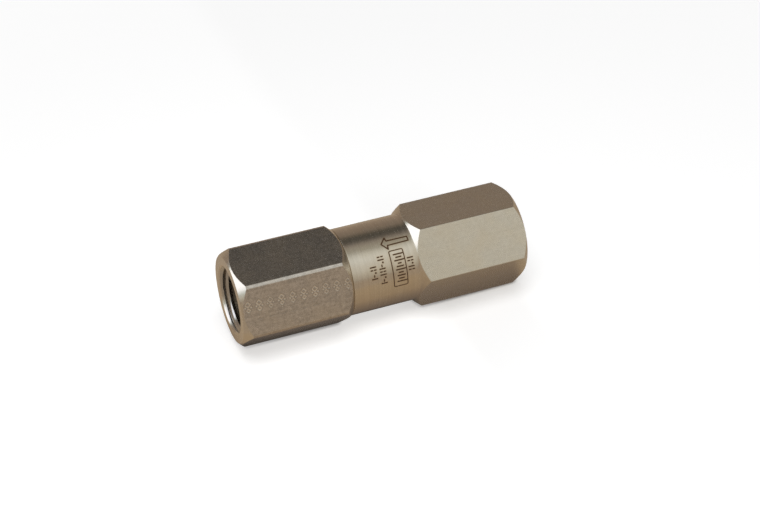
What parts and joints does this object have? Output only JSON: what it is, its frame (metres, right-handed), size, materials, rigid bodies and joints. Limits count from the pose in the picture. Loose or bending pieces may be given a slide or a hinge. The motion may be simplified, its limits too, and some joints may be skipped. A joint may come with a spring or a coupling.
{
  "type": "check valve",
  "caption": "In-line poppet check valve: a hexagonal body with a round neck, a screwed-on hexagonal cap, female pipe-thread ports and a sprung poppet inside.",
  "frame": {"origin": "on the flow axis, half-way between the inlet face and the outlet face (centre of the bounding box)", "axes": "+X along the flow, from the inlet towards the outlet; +Z square to one flat of the inlet body's hexagon, up; +Y completes the right-handed frame"},
  "size_m": [0.0628, 0.022, 0.0214],
  "materials": {
    "body_steel": "drawn and turned stainless steel, satin",
    "cap_steel": "drawn stainless steel, fine matte grain",
    "poppet_steel": "turned stainless steel",
    "spring_steel": "bright drawn spring wire",
    "seal_rubber": "moulded fluorocarbon rubber, satin",
    "backup_plastic": "machined PTFE, waxy white"
  },
  "bodies": {
    "housing": {"inlet_body": "body_steel", "outlet_cap": "cap_steel", "spring": "spring_steel", "poppet_stop": "poppet_steel", "body_o_ring": "seal_rubber", "backup_ring": "backup_plastic"},
    "poppet": {"poppet": "poppet_steel", "poppet_seal": "seal_rubber"}
  },
  "joints": [
    {"name": "poppet_slide", "type": "slide", "parent": "housing", "child": "poppet", "axis": [1, 0, 0], "range_m": [0, 0.0025], "stiffness_N_per_m": 131, "springref_m": -0.0017, "deforming": ["spring"]}
  ]
}
